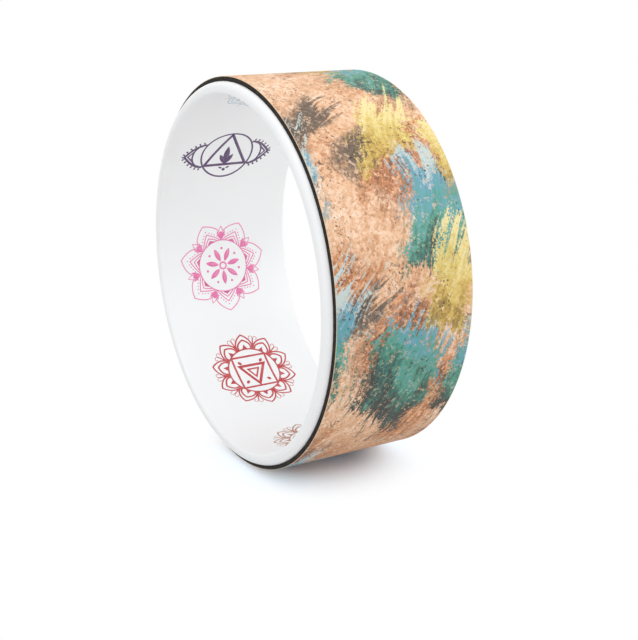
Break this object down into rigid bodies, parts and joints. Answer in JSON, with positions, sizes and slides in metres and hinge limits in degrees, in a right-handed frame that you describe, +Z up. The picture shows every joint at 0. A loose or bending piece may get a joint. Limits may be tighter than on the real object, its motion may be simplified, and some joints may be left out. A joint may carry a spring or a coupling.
{
  "type": "yoga wheel",
  "caption": "Wide hollow hoop of glossy plastic with rounded rims, its tread wrapped in rubber and a printed cork skin, rolled under the back for stretching and balance.",
  "frame": {"origin": "centre of the wheel, on the axle line and midway between the two rims", "axes": "+Y along the axle line, -Y the rim that faces the viewer, +Z up as the wheel stands on its tread, +X to the right of someone who looks along +Y"},
  "size_m": [0.3228, 0.132, 0.3228],
  "materials": {
    "white_plastic": "glossy",
    "adhesive": "clear film",
    "black_rubber": "fine-celled, matte",
    "printed_cork": "matte cork with brushed colour",
    "pink_ink": "printed line work on clear film",
    "red_ink": "printed line work on clear film",
    "orange_ink": "printed line work on clear film",
    "yellow_ink": "printed line work on clear film",
    "green_ink": "printed line work on clear film",
    "blue_ink": "printed line work on clear film",
    "purple_ink": "printed line work on clear film"
  },
  "bodies": {
    "root": {"plastic_hoop": "white_plastic", "hoop_adhesive": "adhesive", "rubber_underlay": "black_rubber", "cork_adhesive": "adhesive", "cork_skin": "printed_cork", "crown_transfer": "pink_ink", "root_transfer": "red_ink", "sacral_transfer": "orange_ink", "solar_transfer": "yellow_ink", "heart_transfer": "green_ink", "throat_transfer": "blue_ink", "brow_transfer": "purple_ink"}
  },
  "joints": []
}
